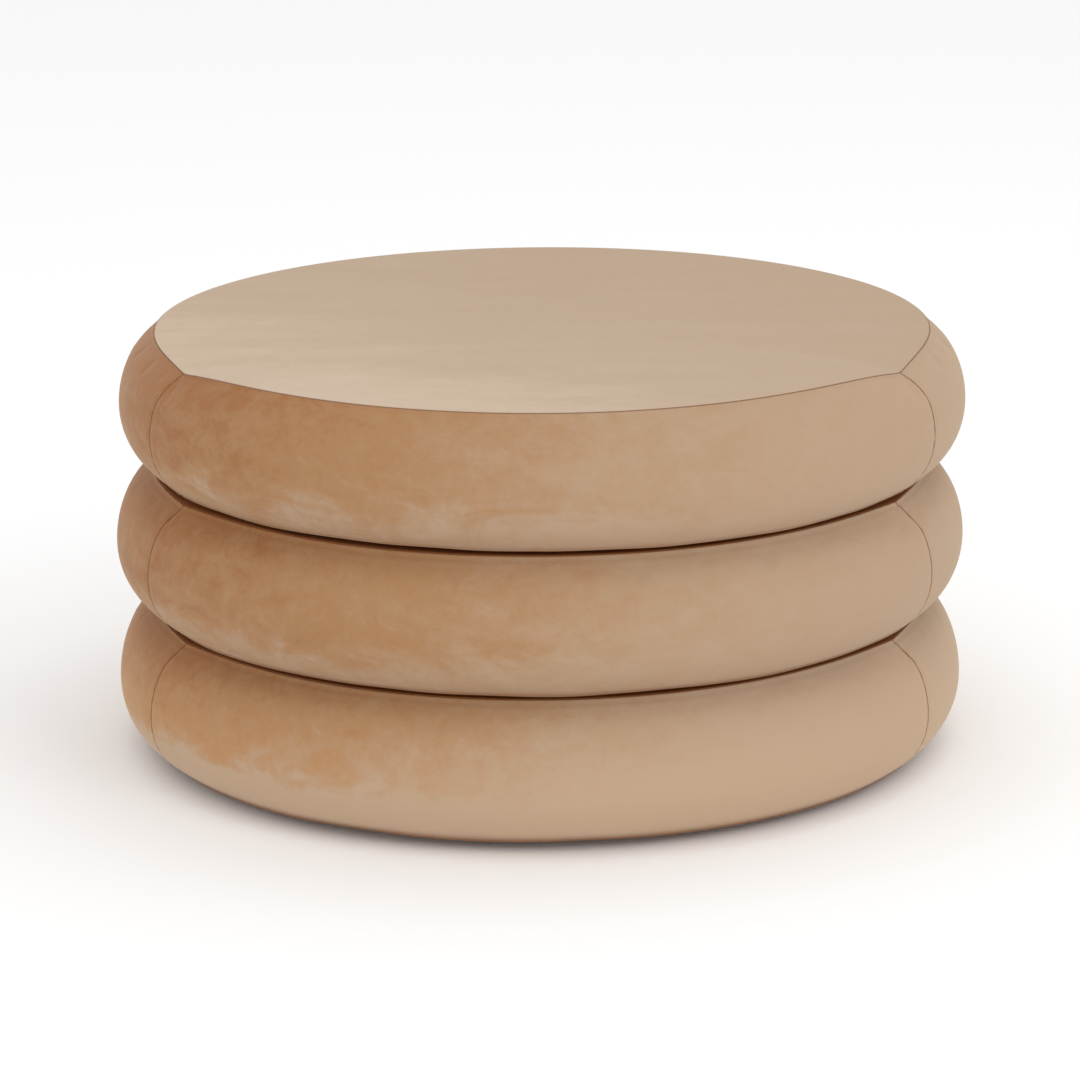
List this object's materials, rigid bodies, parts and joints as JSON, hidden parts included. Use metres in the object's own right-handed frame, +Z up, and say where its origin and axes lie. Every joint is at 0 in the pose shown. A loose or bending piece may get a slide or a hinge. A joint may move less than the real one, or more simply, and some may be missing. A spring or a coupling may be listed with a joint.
{
  "type": "round tiered ottoman",
  "caption": "Round low upholstered ottoman in stacked bullnose tiers with a taut flat top, camel velvet over foam and a plywood frame.",
  "frame": {"origin": "on the floor under the centre of the round footprint, at the bottom of the glides", "axes": "+Z up along the ottoman's round axis, front panel facing -Y, +X to the right seen from the front"},
  "size_m": [0.85, 0.85, 0.422],
  "materials": {
    "velvet": "camel velvet, short dense pile",
    "dust_cloth": "black non-woven dust cover",
    "wadding": "white polyester wadding",
    "foam": "cream upholstery foam",
    "plywood": "unfinished birch plywood",
    "softwood": "planed pine, unfinished",
    "hardboard": "brown hardboard",
    "zinc_steel": "bright zinc plate",
    "glide_plastic": "black moulded plastic"
  },
  "bodies": {
    "root": {"lower_bottom_board": "plywood", "lower_top_board": "plywood", "lower_spacer_blocks": "softwood", "lower_hoop": "hardboard", "lower_foam_rim": "foam", "lower_top_pad": "foam", "lower_wadding": "wadding", "lower_frame_screws": "zinc_steel", "lower_staples": "zinc_steel", "lower_band_front": "velvet", "lower_band_left": "velvet", "lower_band_right": "velvet", "lower_top_panel": "velvet", "middle_bottom_board": "plywood", "middle_top_board": "plywood", "middle_spacer_blocks": "softwood", "middle_hoop": "hardboard", "middle_foam_rim": "foam", "middle_top_pad": "foam", "middle_wadding": "wadding", "middle_frame_screws": "zinc_steel", "middle_staples": "zinc_steel", "middle_band_front": "velvet", "middle_band_left": "velvet", "middle_band_right": "velvet", "middle_top_panel": "velvet", "upper_bottom_board": "plywood", "upper_top_board": "plywood", "upper_spacer_blocks": "softwood", "upper_hoop": "hardboard", "upper_foam_rim": "foam", "upper_top_pad": "foam", "upper_wadding": "wadding", "upper_frame_screws": "zinc_steel", "upper_staples": "zinc_steel", "upper_band_front": "velvet", "upper_band_left": "velvet", "upper_band_right": "velvet", "upper_top_panel": "velvet", "joining_bolts": "zinc_steel", "tee_nuts": "zinc_steel", "dust_cover": "dust_cloth", "dust_cover_staples": "zinc_steel", "glides": "glide_plastic"}
  },
  "joints": []
}
